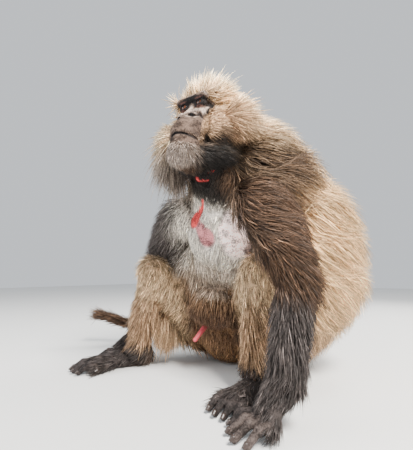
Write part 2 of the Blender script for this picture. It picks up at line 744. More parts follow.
# %% Zones of the trunk
def trunk_zones():
    zone("nape", place(0.085, -0.080, 0.580), place(0.110, -0.080, 0.530), 0.080,
         (0.30, 0.6, -0.75), 0.130, 0.4, BROWN, BLOND, 0.0022, long=True)
    zone("neck_left", place(0.125, -0.205, 0.528), place(0.180, -0.155, 0.512), 0.030,
         (0.75, 0.50, -0.35), 0.075, 0.3, BLACK, UMBER, 0.0019, long=True)
    zone("neck_right", place(0.010, -0.150, 0.520), place(-0.020, -0.150, 0.470), 0.050,
         (-0.6, 0.5, -0.7), 0.080, 0.3, DARK_BROWN, CHARCOAL, 0.0020, long=True)
    zone("collar", place(-0.030, -0.200, 0.452), place(0.110, -0.240, 0.470), 0.016,
         (0.1, -0.3, -0.9), 0.022, 0.3, BLACK, BROWN, 0.0015)
    zone("shoulder_left", place(0.150, -0.195, 0.430), place(0.210, -0.205, 0.335), 0.040,
         (0.75, 0.45, -0.55), 0.085, 0.3, BLACK, BARK, 0.0020, long=True)
    zone("arm_fringe", place(0.225, -0.150, 0.370), place(0.262, -0.165, 0.270), 0.008,
         (0.70, 0.40, -0.60), 0.075, 0.3, BROWN, TAN, 0.0019, long=True)
    zone("shoulder_right", place(-0.095, -0.160, 0.425), place(-0.145, -0.140, 0.340), 0.058,
         (-0.6, 0.3, -0.7), 0.050, 0.3, BLACK, CHARCOAL, 0.0020, long=True)
    zone("cape_left", place(0.195, -0.090, 0.430), place(0.226, -0.085, 0.300), 0.056,
         (0.60, 0.45, -0.65), 0.150, 0.4, TAWNY, BLOND, 0.0022, long=True)
    zone("cape_outer", place(0.205, 0.060, 0.430), place(0.225, 0.090, 0.230), 0.044,
         (0.34, 0.25, -0.88), 0.170, 0.4, TAN, WHEAT, 0.0022, long=True)
    zone("cape_hem", place(0.215, 0.080, 0.170), place(0.180, 0.085, 0.100), 0.050,
         (0.30, 0.25, -0.88), 0.150, 0.4, UMBER, TAN, 0.0022, long=True)
    zone("cape_back", place(0.090, 0.080, 0.450), place(0.070, 0.140, 0.200), 0.060,
         (0.05, 0.35, -0.93), 0.170, 0.4, BROWN, BLOND, 0.0025, long=True)
    zone("cape_right", place(-0.060, 0.000, 0.400), place(-0.090, 0.060, 0.200), 0.050,
         (-0.40, 0.30, -0.87), 0.150, 0.4, UMBER, TAN, 0.0025, long=True)
    zone("rump", place(0.050, 0.120, 0.120), place(-0.060, 0.100, 0.080), 0.080,
         (0.05, 0.25, -0.97), 0.100, 0.3, UMBER, TAN, 0.0024, long=True)
    zone("chest", place(0.014, -0.160, 0.395), place(0.035, -0.140, 0.340), 0.090,
         (-0.10, -0.2, -0.97), 0.026, 0.30, ASH, GREY_WHITE, 0.0017)
    zone("belly_high", place(0.010, -0.110, 0.300), place(0.005, -0.100, 0.285), 0.085,
         (-0.10, -0.2, -0.97), 0.032, 0.30, GRIZZLE, GREY_WHITE, 0.0018)
    zone("breast_right", place(-0.095, -0.130, 0.330), place(-0.118, -0.120, 0.280), 0.022,
         (-0.45, -0.1, -0.88), 0.050, 0.35, GRIZZLE, GREY_WHITE, 0.0018)
    zone("flank", place(-0.115, -0.080, 0.250), place(-0.125, -0.070, 0.210), 0.016,
         (-0.35, -0.2, -0.92), 0.055, 0.50, UMBER, ASH, 0.0020)
    zone("belly_middle", place(0.000, -0.095, 0.252), place(-0.005, -0.090, 0.245), 0.088,
         (0, -0.2, -0.97), 0.038, 0.30, UMBER, GOLD, 0.0019)
    zone("belly_low", place(-0.010, -0.080, 0.222), place(-0.015, -0.060, 0.175), 0.094,
         (0, -0.2, -0.97), 0.040, 0.30, DARK_BROWN, BROWN, 0.0019)
    zone("seat", place(-0.030, 0.000, 0.080), place(-0.020, 0.040, 0.060), 0.100,
         (0, -0.3, -0.9), 0.026, 0.25, UMBER, GOLD, 0.0019)


# %% Zones of the limbs and tail
def limb_zones(side):
    shoulder, elbow, wrist = SHOULDER[side], ELBOW[side], WRIST[side]
    hip, knee, ankle, toes = HIP[side], KNEE[side], ANKLE[side], TOE_ROOTS[side]
    out = 1 if side == "left" else -1
    arm_tones = {"left": (DARK_BROWN, UMBER), "right": (BLACK, CHARCOAL)}[side]
    down_arm = (elbow - shoulder).normalized() + Vector((0.25 * out, 0.25, -0.1))
    down_fore = (wrist - elbow).normalized() + Vector((0.10 * out, 0.15, 0))
    zone(f"upper_arm_{side}", between(shoulder, elbow, 0.55), elbow, 0.040,
         down_arm, 0.050, 0.3, *arm_tones, 0.0019)
    zone(f"forearm_{side}", between(elbow, wrist, 0.2), between(elbow, wrist, 0.7), 0.030,
         down_fore, 0.046, 0.36, BLACK, CHARCOAL, 0.0018)
    zone(f"wrist_{side}", wrist, KNUCKLES[side], 0.024,
         down_fore * 0.6 + HAND_AHEAD[side] * 0.5, 0.028, 0.25, BLACK, CHARCOAL, 0.0016)
    thigh = (knee - hip).normalized()
    shin = (ankle - knee).normalized()
    below = Vector((0.02 * out, 0.010, -0.050))
    behind = Vector((0.03 * out, 0.030, 0))
    zone(f"thigh_{side}", between(hip, knee, 0.3), between(hip, knee, 0.8), 0.058,
         DOWN * 0.8 + thigh * 0.3 + LEFT * 0.2 * out, 0.030, 0.25, BROWN, WHEAT, 0.0017)
    zone(f"ham_{side}", between(hip, knee, 0.5) + below, between(hip, knee, 0.7) + below, 0.026,
         DOWN + thigh * 0.2, 0.105, 0.30, UMBER, TAN, 0.0026, free=True)
    zone(f"knee_{side}", knee, between(knee, ankle, 0.2), 0.040,
         shin + LEFT * 0.15 * out, 0.026, 0.24, BROWN, WHEAT, 0.0015)
    zone(f"shin_{side}", between(knee, ankle, 0.4), between(knee, ankle, 0.75), 0.034,
         shin + LEFT * 0.35 * out, 0.042, 0.40, UMBER, TAN, 0.0018)
    zone(f"calf_{side}", between(knee, ankle, 0.25) + behind, between(knee, ankle, 0.7) + behind, 0.014,
         DOWN + Vector((0.45 * out, 0.30, 0)), 0.070, 0.55, UMBER, TAN, 0.0021)
    ahead = (toes - HEEL[side]).normalized()
    zone(f"foot_{side}", ankle, between(HEEL[side], toes, 0.8), 0.024,
         ahead + DOWN * 0.5, 0.026, 0.22, BLACK, CHARCOAL, 0.0015)


def tail_zones():
    for number, (start, end) in enumerate(zip(TAIL, TAIL[1:])):
        last = number == len(TAIL) - 2
        root, tip = (DARK_BROWN, BROWN) if last else (UMBER, TAN)
        zone(f"tail_{number}", start, end, 0.012, (end - start).normalized() + DOWN * 0.15,
             0.050 if last else 0.034, 0.30, root, tip, 0.0022)


head_zones()
trunk_zones()
for side in SIDES:
    limb_zones(side)
tail_zones()
NAMES = [z["name"] for z in ZONES]
print("zones", len(ZONES))

# %% [markdown]
# ## Spreading the zones over the skin
# Each vertex gets a weight from every zone, which falls off with the distance from the
# zone's rounded line. The weighted mean gives its lie, length, stand, width and two colours.

# %% Fields on the skin
def zone_weights(points):
    """How much each zone counts at each point."""
    far = []
    for z in ZONES:
        away = distance_to(points, z["start"], z["end"]) - z["radius"]
        far.append(np.maximum(away, 0) / z["soft"])
    near = 1 / (np.array(far).T + 1) ** 4
    return near / near.sum(axis=1, keepdims=True)


def spread(weights, key):
    return weights @ np.array([z[key] for z in ZONES], float)


normals = read(skin.data.vertices, "normal")
weights = zone_weights(points)
FIELDS = ("lie", "length", "stand", "width", "root", "tip", "free")
fields = {key: spread(weights, key) for key in FIELDS}
main_zone = weights.argmax(axis=1)
print("skin vertices", len(points))

# %% [markdown]
# ## Bare skin
# The face, the digits, and the red, mauve and pale marks of the chest are bare. Each is found
# by its place: the face by its half width at each height, a digit by how far it lies past the
# knuckles, and a mark by its distance from a line or a middle. Hair stops short of the marks.

# %% The bare face, fingers and toes
FACE_RISE = (-0.152, -0.140, -0.115, -0.095, -0.075, -0.050, -0.030, -0.010, 0.010, 0.022, 0.029)
FACE_HALF = (0.000, 0.022, 0.033, 0.035, 0.034, 0.032, 0.033, 0.0375, 0.041, 0.034, 0.018)
FACE_BACK = (-0.030, -0.020, -0.006, 0.000, 0.000, -0.002, -0.010, -0.024, -0.032, -0.032, -0.034)
STUBBLE_RISE = (-0.112, -0.098, -0.060, -0.050)
STUBBLE_BARE = (0.30, 0.45, 0.45, 1.0)
DIGIT_REACH = 0.09


def face_share(points):
    """How bare each point is as part of the face, with stubble on chin and muzzle but not on the lips."""
    f, l, u = head_steps(points)
    half = np.interp(u, FACE_RISE, FACE_HALF, left=0.0001, right=0.0001)
    back = np.interp(u, FACE_RISE, FACE_BACK)
    over_mouth = above_mouth(l, u)
    lips = (over_mouth > -0.007) & (over_mouth < 0.010)
    cleared = np.maximum(np.interp(u, STUBBLE_RISE, STUBBLE_BARE), lips * 1.0)
    return inside(np.abs(l) / half, 0.94, 1.08) * soft_step(f - back, -0.004, 0.003) * cleared


def near_digits(points, root):
    return np.linalg.norm(points - np.array(root), axis=1) < DIGIT_REACH


def digit_share(points):
    """How bare each point is as part of a finger or toe."""
    share = np.zeros(len(points))
    for side in SIDES:
        foot_ahead = (TOE_ROOTS[side] - HEEL[side]).normalized()
        for root, ahead in ((KNUCKLES[side], HAND_AHEAD[side]), (TOE_ROOTS[side], foot_ahead)):
            past = soft_step((points - np.array(root)) @ np.array(ahead), 0.002, 0.016)
            share = np.maximum(share, past * near_digits(points, root))
    return share


# %% The chest's bare marks
def patch_share(points, centre, radii, soft):
    """How far each point is inside a rounded patch: 1 in its middle, 0 outside."""
    reach = np.linalg.norm((points - np.array(centre)) / np.array(radii), axis=1)
    return inside(reach, 1 - soft, 1 + soft)


def wedge_share(points, start, end, start_half, end_half):
    """How far each point is inside a wedge that is seen from the front."""
    line = np.array(end - start)[[0, 2]]
    offset = (points - np.array(start))[:, [0, 2]]
    along = np.clip(offset @ line / (line @ line), 0, 1)
    away = np.linalg.norm(offset - along[:, None] * line, axis=1)
    reach = away / (start_half + (end_half - start_half) * along)
    return inside(reach, 0.75, 1.2) * (points[:, 1] < CHEST_HIGH[1])


THROAT_LINE = [
    place(0.120, -0.275, 0.492),
    place(0.102, -0.284, 0.475),
    place(0.085, -0.280, 0.466),
    place(0.063, -0.264, 0.462),
    place(0.040, -0.263, 0.466),
]
THROAT_HALVES = (0.0040, 0.0042, 0.0046, 0.0062)


def chest_patches(points):
    """The red marks, the mauve patch and the pale patch."""
    red = wedge_share(points, place(0.034, -0.232, 0.424), place(-0.004, -0.210, 0.380), 0.0030, 0.0185)
    for start, end, half in zip(THROAT_LINE, THROAT_LINE[1:], THROAT_HALVES):
        reach = distance_to(points, np.array(start), np.array(end)) / half
        red = np.maximum(red, inside(reach, 0.8, 1.3))
    mauve = wedge_share(points, place(0.014, -0.220, 0.368), place(0.036, -0.217, 0.338), 0.0130, 0.0240)
    pale = patch_share(points, place(0.104, -0.200, 0.342), (0.040, 0.070, 0.056), 0.22)
    return red, mauve, pale


SHORTEST_SHARE = 0.2


def clear_length(places, lies, lengths):
    """The share of each hair that grows before it would lie over a patch of the chest."""
    clear = np.ones(len(places))
    for t in (1.0, 0.8, 0.6, 0.4, 0.2):
        ahead = places + lies * (lengths * t)[:, None]
        over = np.maximum.reduce(chest_patches(ahead)) > 0.4
        clear[over] = t - 0.1
    return np.maximum(clear, SHORTEST_SHARE)


bare_face = face_share(points)
bare_digit = digit_share(points)
red, mauve, pale = chest_patches(points)
bare = np.maximum.reduce([bare_face, bare_digit, red, mauve, pale * 0.93])
print("bare vertices", int((bare > 0.5).sum()))

# %% Skin colours
FACE_GREY = tint(82, 67, 58)
FACE_PALE = tint(150, 132, 121)
FACE_DARK = tint(62, 50, 44)
SOCKET = tint(20, 16, 16)
LID = tint(84, 57, 50)
CHIN_GREY = tint(76, 62, 54)
DIGIT_GREY = tint(64, 56, 53)
TOE_BLACK = tint(44, 39, 38)
RED = tint(190, 62, 62)
MAUVE = tint(158, 100, 102)


def mix(base, colour, share):
    """Each point's colour turned by its share towards another."""
    return base + (np.array(colour) - base) * np.clip(share, 0, 1)[:, None]


# Pale and dark marks of the face, as steps to the side and up. A lid has its half sizes and strength.
CHEEK_LINE = ((0.007, -0.024), (0.022, -0.024), (0.033, -0.0095))
BROW_LINE = ((0.000, 0.0175), (0.014, 0.0225), (0.030, 0.0205), (0.040, 0.0110))
LID_SPOTS = (
    (0.020, -0.0085, 0.0125, 0.0022, 0.7),
    (0.021, 0.0095, 0.0120, 0.0018, 0.6),
)


def face_tone(points):
    """The bare face: black round the eyes, pale on the brow's edge, the nose and below the eyes."""
    f, l, u = head_steps(points)
    side = np.abs(l)
    tone = np.tile(FACE_GREY, (len(points), 1))

    def stroke(colour, share):
        nonlocal tone
        tone = mix(tone, colour, share)

    def oval(across, rise, half_width, half_height):
        return np.hypot((side - across) / half_width, (u - rise) / half_height)

    stroke(FACE_DARK, 0.8 * soft_step(side, 0.018, 0.032) * soft_step(-u, 0.036, 0.060))
    stroke(FACE_DARK, 0.7 * np.exp(-(((u + 0.034) / 0.008) ** 2)) * soft_step(side, 0.006, 0.012))
    stroke(CHIN_GREY, soft_step(-u, 0.090, 0.105))
    stroke(FACE_DARK, soft_step(-u, 0.118, 0.140))
    stroke(FACE_PALE, inside(line_distance(side, u, CHEEK_LINE) / 0.0085, 0.5, 1.1))
    stroke(FACE_PALE, 0.8 * inside(oval(0, -0.018, 0.0065, 0.022), 0.5, 1.1))
    eye = oval(0.0205, 0.0020, 0.0190, 0.0122)
    over = oval(0, 0.0105, 0.024, 0.0072)
    stroke(SOCKET, inside(np.minimum(eye, over), 0.80, 1.10))
    for across, rise, half_width, half_height, strength in LID_SPOTS:
        stroke(LID, strength * inside(oval(across, rise, half_width, half_height), 0.6, 1.1))
    edge = inside(line_distance(side, u, BROW_LINE) / 0.0026, 0.4, 1.2)
    stroke(FACE_PALE, 0.65 * edge * soft_step(f, -0.030, -0.016))
    rim = oval(NOSTRIL[1] + 0.002, NOSTRIL[2], 0.0090, 0.0056)
    stroke(FACE_PALE, 0.7 * inside(np.abs(rim - 1.1), 0.15, 0.35))
    stroke(SOCKET, 0.95 * inside(line_distance(side, u, FOLDS[0][0]) / 0.0034, 0.5, 1.2))
    stroke(SOCKET, inside(rim, 0.65, 0.90))
    lips = np.abs(above_mouth(side, u))
    stroke(SOCKET, inside(lips, 0.0018, 0.0038) * inside(side, 0.030, 0.034))
    return tone


tone = fields["root"] * 0.62 + fields["tip"] * 0.20
tone = mix(tone, DIGIT_GREY, bare_digit)
for side in SIDES:
    tone = mix(tone, TOE_BLACK, bare_digit * near_digits(points, TOE_ROOTS[side]))
for colour, share in ((PINK_WHITE, pale), (MAUVE, mauve), (RED, red)):
    tone = mix(tone, colour, share)
whole_face = np.clip(bare_face * 3.4, 0, 1)
tone += (face_tone(points) - tone) * whole_face[:, None]


def store_tone(mesh, name, colours):
    layer = mesh.attributes.new(name, "FLOAT_COLOR", "POINT")
    values = np.concatenate([colours, np.ones((len(colours), 1))], axis=1)
    layer.data.foreach_set("color", values.astype(np.float32).ravel())


def store_share(mesh, name, values):
    layer = mesh.attributes.new(name, "FLOAT", "POINT")
    layer.data.foreach_set("value", values.astype(np.float32))


store_tone(skin.data, "tone", tone)
store_share(skin.data, "bare", bare)

# %% [markdown]
# ## The skin's material
# Colour comes from the tone stored on the skin. Noise at two scales mottles it, and a fine
# bump gives pores and creases on bare places. Under the coat it reads as dark underfur.

# %% Skin material
def node_maker(tree):
    """A short way to add a node to a tree, with its inputs set or linked."""
    def add(kind, inputs=None, **settings):
        node = tree.nodes.new(kind)
        for key, value in settings.items():
            setattr(node, key, value)
        for key, value in (inputs or {}).items():
            if isinstance(value, bpy.types.NodeSocket):
                tree.links.new(value, node.inputs[key])
            else:
                node.inputs[key].default_value = value
        return node

    return add


def new_material(name, **settings):
    """A material, its node maker, its shader with the settings given, and its links."""
    material = bpy.data.materials.new(name)
    material.use_nodes = True
    shader = material.node_tree.nodes["Principled BSDF"]
    for key, value in settings.items():
        shader.inputs[key.replace("_", " ")].default_value = value
    return material, node_maker(material.node_tree), shader, material.node_tree.links


def noise(add, scale, detail, distortion=0.0):
    where = add("ShaderNodeTexCoord").outputs["Object"]
    settings = {"Vector": where, "Scale": scale, "Detail": detail, "Distortion": distortion}
    return add("ShaderNodeTexNoise", settings).outputs["Fac"]


def total(add, first, second):
    return add("ShaderNodeMath", {0: first, 1: second}, operation="ADD").outputs[0]


def colour_with_grain(add, shader, links, colour, grain, span, shades):
    """The colour made darker and lighter by a grain that runs over a span."""
    ends = {"From Min": span[0], "From Max": span[1], "To Min": shades[0], "To Max": shades[1]}
    shade = add("ShaderNodeMapRange", {"Value": grain, **ends}).outputs[0]
    varied = add("ShaderNodeVectorMath", {0: colour, 1: shade}, operation="MULTIPLY").outputs[0]
    links.new(varied, shader.inputs["Base Color"])


def stored(add, name, output):
    return add("ShaderNodeAttribute", attribute_name=name).outputs[output]


def add_bump(add, shader, links, height_map, strength, depth):
    bump = add("ShaderNodeBump", {"Strength": strength, "Distance": depth, "Height": height_map})
    links.new(bump.outputs[0], shader.inputs["Normal"])


def skin_material():
    material, add, shader, links = new_material("skin", Specular_IOR_Level=0.12)
    mottle = total(add, noise(add, 340.0, 4.0), noise(add, 60.0, 2.0))
    colour_with_grain(add, shader, links, stored(add, "tone", "Color"), mottle, (0.84, 1.16), (0.38, 1.72))
    where = add("ShaderNodeTexCoord").outputs["Object"]
    pores = add("ShaderNodeTexVoronoi", {"Vector": where, "Scale": 700.0}).outputs["Distance"]
    add_bump(add, shader, links, total(add, pores, noise(add, 160.0, 5.0, 1.2)), 0.7, 0.0014)
    ends = {"Value": stored(add, "bare", "Fac"), "To Min": 0.95, "To Max": 0.55}
    links.new(add("ShaderNodeMapRange", ends).outputs[0], shader.inputs["Roughness"])
    return material


skin.data.materials.clear()
skin.data.materials.append(skin_material())
skin.data.polygons.foreach_set("material_index", np.zeros(len(skin.data.polygons), np.int32))
covered = [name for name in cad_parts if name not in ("eye_left", "eye_right", "organ")]
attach(skin, "root")
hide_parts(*covered)
print("the skin replaces", len(covered), "solids")

# %% [markdown]
# ## The coat's unwrap
# The export bakes a tuft's colours onto a map, so every tuft needs a small patch of it.
# The skin is unwrapped part by part: each zone's line is the axis of a cylinder, whose angle
# and height give a place in that zone's own square of the map.

# %% Unwrap by zone
CHARTS_ACROSS = math.ceil(math.sqrt(len(ZONES)))
CHART = 1 / CHARTS_ACROSS
PATCH = 0.003
CHART_MARGIN = 0.04
CHART_USED = 0.90
END_ROOM = 0.02


def unwrap(points, main):
    """Each point's place on its zone's square."""
    flat = np.zeros((len(points), 2))
    for number, z in enumerate(ZONES):
        chosen = main == number
        axis = z["end"] - z["start"]
        length = np.linalg.norm(axis)
        axis = axis / length
        side = np.cross(axis, (0.3, 0.9, 0.2))
        side /= np.linalg.norm(side)
        offset = points[chosen] - z["start"]
        angle = np.arctan2(offset @ np.cross(axis, side), offset @ side) / math.tau + 0.5
        reach = length + 2 * z["radius"] + 2 * END_ROOM
        along = np.clip((offset @ axis + z["radius"] + END_ROOM) / reach, 0, 1)
        corner = np.array(divmod(number, CHARTS_ACROSS)) * CHART
        flat[chosen] = corner + (CHART_MARGIN + CHART_USED * np.stack([angle, along], axis=1)) * CHART
    return flat


# %% [markdown]
# ## Tufts
# A tuft is a thin closed taper with three sides, sunk a little into the skin at its root.
# A node tree could scatter copies of one tuft, but each tuft here looks for the skin and for the
# coat's outline as it bends, so thousands are made at once with arrays: roots are scattered over
# the skin by area, and each tuft turns into the coat's lie. Long hair follows the body and rises
# to the outline that the hair's masses give; short and free hair leaves the skin and droops.

# %% Scatter the roots
rng = np.random.default_rng(11)
skin.data.calc_loop_triangles()
corners = read(skin.data.loop_triangles, "vertices", np.int32)
a, b, c = (points[corners[:, i]] for i in range(3))
areas = np.linalg.norm(np.cross(b - a, c - a), axis=1) / 2
face_zone = main_zone[corners[:, 0]]
face_bare = bare[corners].mean(axis=1)
SINK = 0.003


def unit(vectors):
    return vectors / np.maximum(np.linalg.norm(vectors, axis=1, keepdims=True), 1e-9)


def scatter(names, count):
    """Random roots over the zones named, fewer where the skin is bare."""
    wanted = np.isin(face_zone, [NAMES.index(name) for name in names])
    chance = areas * wanted * np.clip(1 - face_bare, 0, 1) ** 2
    picked = rng.choice(len(chance), count, p=chance / chance.sum())
    shares = rng.dirichlet((1, 1, 1), count)
    ends = corners[picked]

    def value(field):
        return np.einsum("ij,ij...->i...", shares, field[ends])

    roots = {key: value(fields[key]) for key in fields}
    roots["place"] = value(points)
    roots["length"] *= clear_length(roots["place"], unit(roots["lie"]), roots["length"])
    up = value(normals)
    roots["normal"] = up / np.linalg.norm(up, axis=1, keepdims=True)
    roots["flat"] = unwrap(roots["place"], main_zone[ends[:, 0]])
    return roots


# %% The coat's outline
def build_outline():
    """The outline of the whole coat, out to the tips."""
    mesh = bmesh.new()
    add_trunk(mesh, 0)
    add_hair_masses(mesh, 1, 0)
    add_skull(mesh)
    for side in SIDES:
        add_limb(mesh, SHOULDER[side], ELBOW[side], 0.076, 0.060)
        add_limb(mesh, ELBOW[side], WRIST[side], 0.060, 0.034)
    add_limb(mesh, place(0.150, -0.180, 0.400), place(0.200, -0.190, 0.330), 0.085, 0.075)
    outline = object_of(mesh, "outline")
    fuse(outline, 0.008, 2)
    print("outline", len(outline.data.polygons), "faces")
    tree = surface_tree(outline)
    bpy.data.objects.remove(outline)
    return tree


skin_tree = surface_tree(skin)
outline_tree = build_outline()

# %% Paths of the tufts
LONGEST_RISE = 0.085


def nearest(tree, places):
    """Nearest points, normals and distances for many places."""
    found = [tree.find_nearest(Vector(p)) for p in places]
    return tuple(np.array([f[part] for f in found]) for part in (0, 1, 3))


WAVES = np.array([(52, -31, 18), (-24, 47, 39), (35, 22, -58)])
RIPPLES = np.array([(310, -170, 90), (-140, 290, 210), (190, 120, -330)])


def parted(roots, scatter_by):
    """The lie with slow waves, quick ones that gather hairs into locks, and some scatter."""
    waves = 0.10 * np.sin(roots["place"] @ WAVES.T) + 0.04 * np.sin(roots["place"] @ RIPPLES.T)
    return unit(roots["lie"] + waves + rng.normal(0, scatter_by, roots["lie"].shape))


def along_skin(lie, up, share=1):
    """The lie turned flat to the skin, or a share of the way."""
    return unit(lie - up * np.sum(lie * up, axis=1, keepdims=True) * share)


def hugging_paths(roots, steps):
    """Long hair: it follows the body and rises to the coat's outline at its tip."""
    count = len(roots["place"])
    rise = rng.uniform(0.40, 1.10, count)
    bend = rng.normal(0, 0.22, count)
    stretch = rng.uniform(0.70, 1.10, count) + 0.25 * (rng.random(count) < 0.03)
    step_length = roots["length"] * stretch / steps
    lie = parted(roots, 0.09)
    at, path = roots["place"], []
    for step in range(steps + 1):
        t = step / steps
        on, up, _ = nearest(skin_tree, at)
        _, _, depth = nearest(outline_tree, on)
        lift = np.minimum(depth, LONGEST_RISE) * rise
        path.append(on + up * ((SINK + lift) * t ** 0.9 - SINK)[:, None])
        flow = along_skin(lie, up)
        flow = unit(flow + np.cross(up, flow) * (bend * t)[:, None])
        at = on + flow * step_length[:, None]
    return np.stack(path, axis=1)


def free_paths(roots, steps):
    """Short hair and whiskers: out of the skin, over into the lie, then down with their weight."""
    count = len(roots["place"])
    lie = parted(roots, 0.14)
    stand = roots["stand"] * rng.uniform(0.5, 1.4, count)
    stretch = rng.uniform(0.65, 1.10, count) + 0.4 * (rng.random(count) < 0.05)
    step_length = roots["length"] * stretch / steps
    up = roots["normal"]
    flow = along_skin(lie, up, 1 - roots["free"][:, None])
    at = roots["place"] - up * SINK
    path = [at]
    for step in range(steps):
        t = step / steps
        heading = unit(flow + up * (stand * (1 - 0.6 * t))[:, None])
        heading = unit(heading + np.array([0, 0, -0.6]) * (t * roots["free"])[:, None])
        extra = SINK * 1.5 if step == 0 else 0
        at = at + heading * (step_length + extra)[:, None]
        path.append(at)
    return np.stack(path, axis=1)


# %% Mesh of the tufts
SIDES_OF_TUFT = 3
RING_TURNS = (math.pi / 2, math.pi * 7 / 6, math.pi * 11 / 6)
RING_WIDE = 0.58
RING_THICK = 0.34
SHADE_SPREAD = 0.48


def tuft_faces(rings):
    """Triangles of one tuft: a cap, its sides and a tip."""
    n = SIDES_OF_TUFT
    faces = [(0, 2, 1)]
    for ring in range(rings - 1):
        for i in range(n):
            a, b = ring * n + i, ring * n + (i + 1) % n
            faces += [(a, b, b + n), (a, b + n, a + n)]
    last = (rings - 1) * n
    faces += [(last + i, last + (i + 1) % n, rings * n) for i in range(n)]
    return np.array(faces)


def tuft_mesh(name, path, roots):
    """One mesh of all the tufts, with their colours and their patches on the unwrap."""
    count, steps = path.shape[0], path.shape[1] - 1
    along = np.gradient(path, axis=1)
    along /= np.linalg.norm(along, axis=2, keepdims=True)
    up = roots["normal"][:, None, :]
    across = np.cross(along, up)
    across /= np.maximum(np.linalg.norm(across, axis=2, keepdims=True), 1e-6)
    out = np.cross(across, along)
    t = np.linspace(0, 1, steps + 1)[:steps]
    broad = roots["width"][:, None] * (0.80 + 0.55 * t - 1.05 * t * t) * rng.uniform(0.7, 1.3, (count, 1))
    rings = []
    for turn in RING_TURNS:
        flat = across[:, :steps] * (math.cos(turn) * broad)[:, :, None] * RING_WIDE
        thick = out[:, :steps] * (math.sin(turn) * broad)[:, :, None] * RING_THICK
        rings.append(path[:, :steps] + flat + thick)
    rings = np.stack(rings, axis=2).reshape(count, steps * SIDES_OF_TUFT, 3)
    verts = np.concatenate([rings, path[:, -1:]], axis=1)
    verts[:, :, 2] = np.maximum(verts[:, :, 2], FLOOR_CLEAR)
    per_tuft = verts.shape[1]
    faces = tuft_faces(steps)
    loops = (faces[None] + (np.arange(count) * per_tuft)[:, None, None]).reshape(-1)
    mesh = bpy.data.meshes.new(name)
    mesh.vertices.add(count * per_tuft)
    mesh.vertices.foreach_set("co", verts.astype(np.float32).ravel())
    mesh.loops.add(len(loops))
    mesh.loops.foreach_set("vertex_index", loops.astype(np.int32))
    mesh.polygons.add(len(loops) // 3)
    mesh.polygons.foreach_set("loop_start", np.arange(0, len(loops), 3, dtype=np.int32))
    mesh.update(calc_edges=True)
    mesh.shade_smooth()
    level = np.append(np.repeat(t, SIDES_OF_TUFT), 1.0)
    share = level[None, :, None] ** 0.8 * rng.uniform(0.25, 1.20, (count, 1, 1))
    shade = np.exp(rng.normal(0, SHADE_SPREAD, (count, 1, 1)))
    tones = (roots["root"][:, None] * (1 - share) + roots["tip"][:, None] * share) * shade
    store_tone(mesh, "tone", tones.reshape(-1, 3))
    spot = np.stack([np.tile([0, 1, 0.5], steps + 1)[:per_tuft], level], axis=1) * PATCH
    flat = roots["flat"][:, None] + spot[None]
    layer = mesh.uv_layers.new(name="OFBake")
    layer.data.foreach_set("uv", flat.reshape(-1, 2)[loops].astype(np.float32).ravel())
    return linked(name, mesh)


# %% [markdown]
# ## The coat's material
# Hair is a rough, slightly glossy fibre. Its colour is the tone stored on each tuft, from the
# dark root to the pale tip, and fine noise grizzles it as banded hairs do.

# %% Coat material
def coat_material():
    material, add, shader, links = new_material("coat", Roughness=0.62, Specular_IOR_Level=0.3)
    specks = noise(add, 260.0, 2.0)
    colour_with_grain(add, shader, links, stored(add, "tone", "Color"), specks, (0.3, 0.7), (0.62, 1.38))
    return material


COAT = coat_material()
COAT_COUNTS = []
print("materials", [material.name for material in bpy.data.materials if material.users])


def grow_coat(name, zones, count, steps, long=False):
    """One coat piece: a count of tufts over the zones named, each bent in so many steps."""
    roots = scatter(zones, count)
    path = hugging_paths(roots, steps) if long else free_paths(roots, steps)
    obj = tuft_mesh(name, path, roots)
    obj.data.materials.append(COAT)
    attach(obj, "root")
    COAT_COUNTS.append(len(obj.data.polygons))
    print(name, len(obj.data.polygons))
    return obj


# %% [markdown]
# ## Growing the coat
# The coat is grown piece by piece, so that no mesh gets too large.
# Crown, mane and cape are long; chest, belly and limbs are short and dense.

# %% Grow it
def both(name):
    return [f"{name}_{side}" for side in SIDES]


grow_coat("coat_crown", ["brow", "crown", *both("temple")], 8600, 3)
grow_coat("coat_cheeks", [*both("cheek"), *both("cheek_low"), "ruff_right"], 6400, 3)
grow_coat("coat_face_edge", both("face_edge"), 2600, 2)
grow_coat("coat_jaw", [*both("jaw"), *both("under_cheek"), "throat"], 5000, 2)
grow_coat("coat_chin", ["chin", "under_chin", "muzzle"], 4600, 2)
grow_coat("coat_whiskers", ["whisker_right"], 1300, 4)
grow_coat("coat_mane", ["head_back", "mane_left", "mane_right"], 4800, 3, long=True)
grow_coat("coat_nape", ["nape", *both("neck")], 5200, 3, long=True)
grow_coat("coat_shoulders", [*both("shoulder"), "arm_fringe"], 6600, 3, long=True)
grow_coat("coat_cape_left", ["cape_left"], 6300, 3, long=True)
grow_coat("coat_cape_outer", ["cape_outer", "cape_hem"], 7200, 3, long=True)
grow_coat("coat_cape_back", ["cape_back"], 4000, 3, long=True)
grow_coat("coat_cape_right", ["cape_right", "rump"], 4700, 3, long=True)
grow_coat("coat_chest", ["collar", "chest", "belly_high", "breast_right"], 9800, 2)
grow_coat("coat_belly", ["belly_middle", "belly_low", "seat", "flank"], 5500, 2)
for side in SIDES:
    grow_coat(f"coat_arm_{side}", [f"{part}_{side}" for part in ("upper_arm", "forearm", "wrist")], 6500, 2)
    grow_coat(f"coat_leg_{side}", [f"{part}_{side}" for part in ("thigh", "knee", "shin", "foot")], 6300, 2)
grow_coat("coat_ham_right", ["ham_right", "calf_right"], 2900, 3)
grow_coat("coat_ham_left", ["ham_left", "calf_left"], 900, 3)
grow_coat("coat_tail", [f"tail_{n}" for n in range(len(TAIL) - 1)], 2500, 2)
print("coat triangles", sum(COAT_COUNTS))

# %% [markdown]
# ## Eyes
# A gelada's iris is brown-orange and nearly fills the opening; the white of its eye is dark.
# The eyeball is turned to its own axis, so rings of the mesh can carry pupil, iris and rim.

